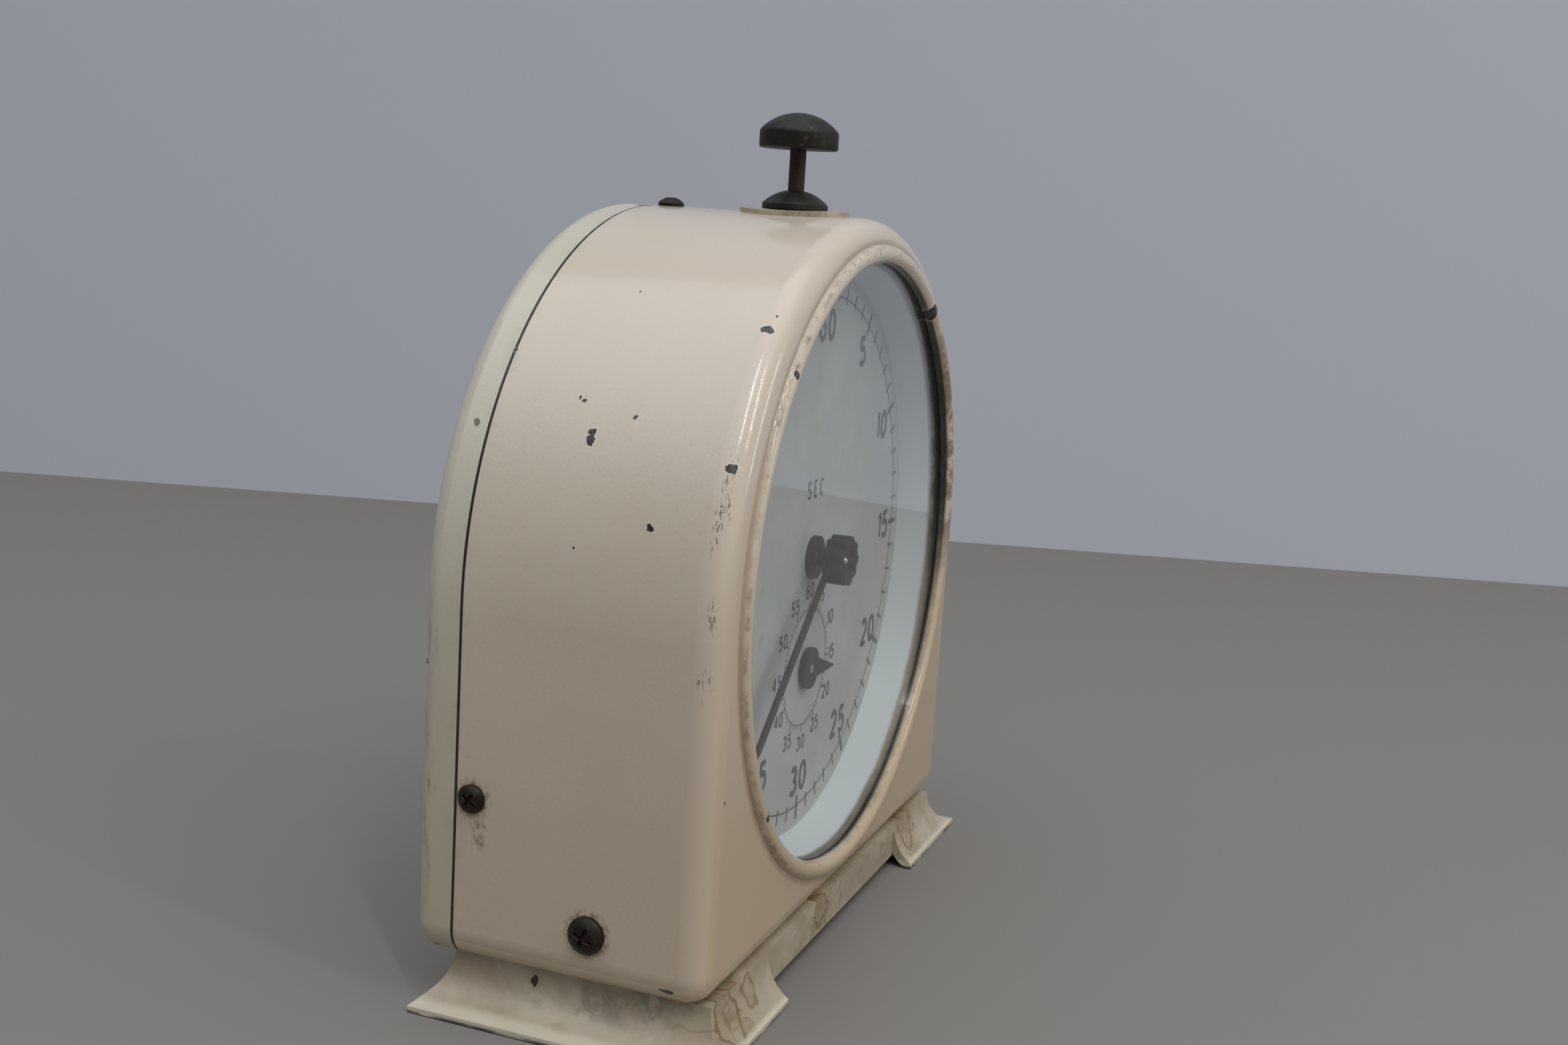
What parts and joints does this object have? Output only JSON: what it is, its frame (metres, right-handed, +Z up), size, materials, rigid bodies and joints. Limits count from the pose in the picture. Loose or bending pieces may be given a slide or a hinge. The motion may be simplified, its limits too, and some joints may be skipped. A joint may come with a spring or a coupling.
{
  "type": "mechanical timer",
  "caption": "Clockwork stop timer in an arched pressed-steel case on a flared base, with a seconds hand, a small minute dial, a top plunger and a rear winding key.",
  "frame": {"origin": "centre of the footprint's bounding box, on the surface the base stands on", "axes": "+X to the right when facing the dial, +Y from the dial to the back, +Z up; the dial faces -Y"},
  "size_m": [0.139, 0.0702, 0.1531],
  "materials": {
    "case_enamel": "gloss enamel, chipped",
    "cover_enamel": "gloss enamel, speckled",
    "base_enamel": "brushed-on enamel, glue stains",
    "screw_steel": "dark, rusty",
    "window_glass": "clear",
    "gasket_rubber": "dark",
    "spacer_white": "matt white",
    "dial_white": "matt white with dark print",
    "hand_black": "matt black",
    "plunger_black": "worn satin black",
    "stem_steel": "rusty",
    "key_steel": "nickel plate, dulled",
    "plate_brass": "satin",
    "wheel_brass": "satin",
    "arbor_steel": "satin",
    "spring_steel": "blued"
  },
  "bodies": {
    "case": {"front_case": "case_enamel", "back_cover": "cover_enamel", "base_plate": "base_enamel", "base_screws": "screw_steel", "cover_screws": "screw_steel", "glass": "window_glass", "glass_gasket": "gasket_rubber", "spacer_ring": "spacer_white", "dial_plate": "dial_white", "dial_feet": "plate_brass", "centre_bush": "hand_black", "front_plate": "plate_brass", "back_plate": "plate_brass", "pillars": "plate_brass", "pillar_nuts": "arbor_steel", "movement_posts": "arbor_steel", "movement_screws": "arbor_steel", "plunger_ferrule": "plunger_black", "ferrule_nut": "arbor_steel", "plunger_washer": "base_enamel", "stem_guide": "arbor_steel", "lever_studs": "arbor_steel", "click_spring": "spring_steel", "jumper_spring": "spring_steel", "hairspring": "spring_steel", "plunger_spring": "spring_steel"},
    "plunger": {"plunger_cap": "plunger_black", "plunger_stem": "stem_steel", "plunger_collar": "arbor_steel"},
    "seconds": {"seconds_arbor": "arbor_steel", "seconds_wheel": "wheel_brass", "seconds_heart": "wheel_brass", "seconds_hand": "hand_black", "hand_nut": "hand_black"},
    "third": {"third_arbor": "arbor_steel", "third_wheel": "wheel_brass"},
    "barrel_body": {"barrel": "wheel_brass", "barrel_lid": "wheel_brass", "mainspring": "spring_steel"},
    "escape": {"escape_arbor": "arbor_steel", "escape_wheel": "wheel_brass"},
    "counter": {"counter_arbor": "arbor_steel", "counter_wheel": "wheel_brass"},
    "minute": {"minute_arbor": "arbor_steel", "minute_wheel": "wheel_brass", "minute_heart": "wheel_brass", "minute_hand": "hand_black"},
    "key": {"winding_key": "key_steel", "winding_arbor": "arbor_steel", "ratchet_wheel": "arbor_steel"},
    "click_body": {"click": "arbor_steel"},
    "pallet": {"pallet_lever": "wheel_brass", "pallet_arbor": "arbor_steel"},
    "balance": {"balance_wheel": "wheel_brass", "balance_staff": "arbor_steel"},
    "operating": {"operating_lever": "arbor_steel"},
    "pawl": {"operating_pawl": "arbor_steel"},
    "column": {"column_wheel": "arbor_steel"},
    "brake": {"brake_lever": "arbor_steel"},
    "hammer": {"reset_hammer": "arbor_steel"}
  },
  "joints": [
    {"name": "plunger_press", "type": "slide", "parent": "case", "child": "plunger", "axis": [0, 0, -1], "range_m": [0, 0.004], "stiffness_N_per_m": 400, "springref_m": -0.003, "deforming": ["plunger_spring"]},
    {"name": "seconds_spin", "type": "hinge", "parent": "case", "child": "seconds", "pos_m": [0, -0.00235, 0.0717], "axis": [0, 1, 0], "continuous": true},
    {"name": "third_spin", "type": "hinge", "parent": "case", "child": "third", "pos_m": [-0.01251, -0.00235, 0.06019], "axis": [0, 1, 0], "continuous": true},
    {"name": "barrel_spin", "type": "hinge", "parent": "case", "child": "barrel_body", "pos_m": [0, -0.00235, 0.0417], "axis": [0, 1, 0], "continuous": true},
    {"name": "escape_spin", "type": "hinge", "parent": "case", "child": "escape", "pos_m": [0.009, -0.00235, 0.0831], "axis": [0, 1, 0], "continuous": true},
    {"name": "counter_spin", "type": "hinge", "parent": "case", "child": "counter", "pos_m": [-0.00657, -0.01735, 0.06137], "axis": [0, 1, 0], "continuous": true},
    {"name": "minute_spin", "type": "hinge", "parent": "case", "child": "minute", "pos_m": [0, -0.01735, 0.0502], "axis": [0, 1, 0], "continuous": true},
    {"name": "key_wind", "type": "hinge", "parent": "case", "child": "key", "pos_m": [0, 0.01265, 0.0417], "axis": [0, 1, 0], "continuous": true},
    {"name": "click_lift", "type": "hinge", "parent": "case", "child": "click_body", "pos_m": [0.0125, 0.01165, 0.0462], "axis": [0, 1, 0], "range_deg": [0, 6], "stiffness_Nm_per_rad": 0.002, "springref_deg": -5.73},
    {"name": "pallet_rock", "type": "hinge", "parent": "case", "child": "pallet", "pos_m": [0.00438, -0.00435, 0.09109], "axis": [0, 1, 0], "range_deg": [-3.5, 3.5]},
    {"name": "balance_swing", "type": "hinge", "parent": "case", "child": "balance", "pos_m": [-0.00262, -0.00135, 0.10322], "axis": [0, 1, 0], "range_deg": [-220, 220], "stiffness_Nm_per_rad": 0.00015},
    {"name": "operating_swing", "type": "hinge", "parent": "case", "child": "operating", "pos_m": [0.028, -0.01285, 0.1087], "axis": [0, 1, 0], "range_deg": [-8.2, 0]},
    {"name": "pawl_swing", "type": "hinge", "parent": "operating", "child": "pawl", "pos_m": [0.017, -0.01135, 0.1112], "axis": [0, 1, 0], "range_deg": [0, 8.2]},
    {"name": "column_turn", "type": "hinge", "parent": "case", "child": "column", "pos_m": [0.011, -0.01135, 0.1032], "axis": [0, 1, 0], "continuous": true},
    {"name": "brake_swing", "type": "hinge", "parent": "case", "child": "brake", "pos_m": [-0.017, -0.00985, 0.1107], "axis": [0, 1, 0], "range_deg": [-1.9, 0]},
    {"name": "hammer_swing", "type": "hinge", "parent": "case", "child": "hammer", "pos_m": [0.008, -0.01735, 0.0937], "axis": [0, 1, 0], "range_deg": [0, 2.5]}
  ],
  "couplings": [
    {"joint": "third_spin", "follows": "seconds_spin", "ratio": -0.13333},
    {"joint": "barrel_spin", "follows": "seconds_spin", "ratio": 0.016667},
    {"joint": "escape_spin", "follows": "seconds_spin", "ratio": -10},
    {"joint": "counter_spin", "follows": "seconds_spin", "ratio": -0.13333},
    {"joint": "minute_spin", "follows": "seconds_spin", "ratio": 0.016667},
    {"joint": "operating_swing", "follows": "plunger_press", "rad_per_m": -35.714},
    {"joint": "pawl_swing", "follows": "plunger_press", "rad_per_m": 35.714}
  ]
}
